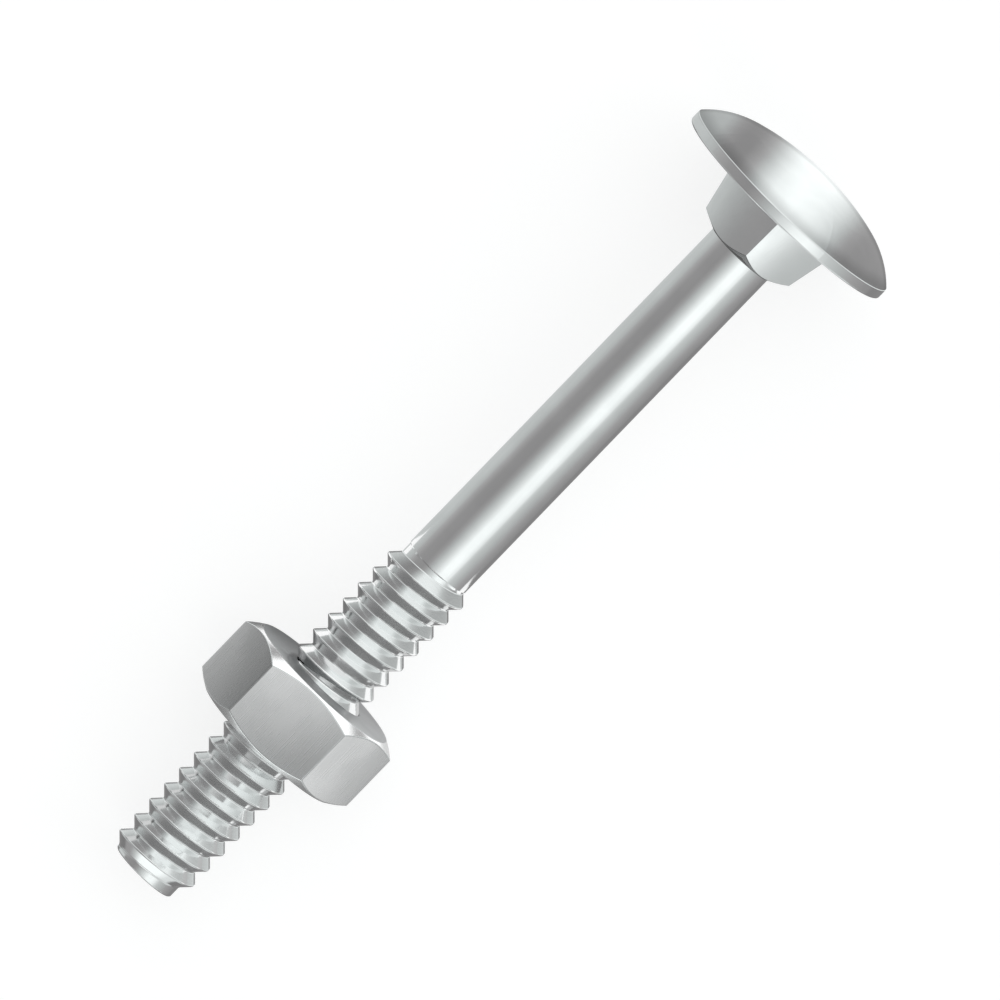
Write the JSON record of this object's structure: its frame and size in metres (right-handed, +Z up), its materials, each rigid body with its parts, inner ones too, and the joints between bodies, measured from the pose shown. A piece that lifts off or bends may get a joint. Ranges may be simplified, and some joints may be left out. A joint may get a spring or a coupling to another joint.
{
  "type": "carriage bolt",
  "caption": "Carriage bolt with a domed head, a tapered square neck, a plain shank and a coarse thread, and a hexagon nut that runs along the thread.",
  "frame": {"origin": "on the surface that the bolt lies on, under the middle of its outline seen from above", "axes": "+X along the bolt towards its head, within about 3 degrees because the head lifts that end; +Z up"},
  "size_m": [0.1048, 0.0274, 0.0275],
  "materials": {
    "bolt_steel": "bright zinc plate, smooth, with a slight grain along the shank",
    "nut_steel": "bright zinc plate, satin flats and turned chamfers"
  },
  "bodies": {
    "bolt": {"carriage_bolt": "bolt_steel"},
    "nut": {"hex_nut": "nut_steel"}
  },
  "joints": [
    {"name": "nut_travel", "type": "slide", "parent": "bolt", "child": "nut", "axis": [0.9985, 0, 0.0556], "range_m": [-0.02772, 0.01386]}
  ]
}
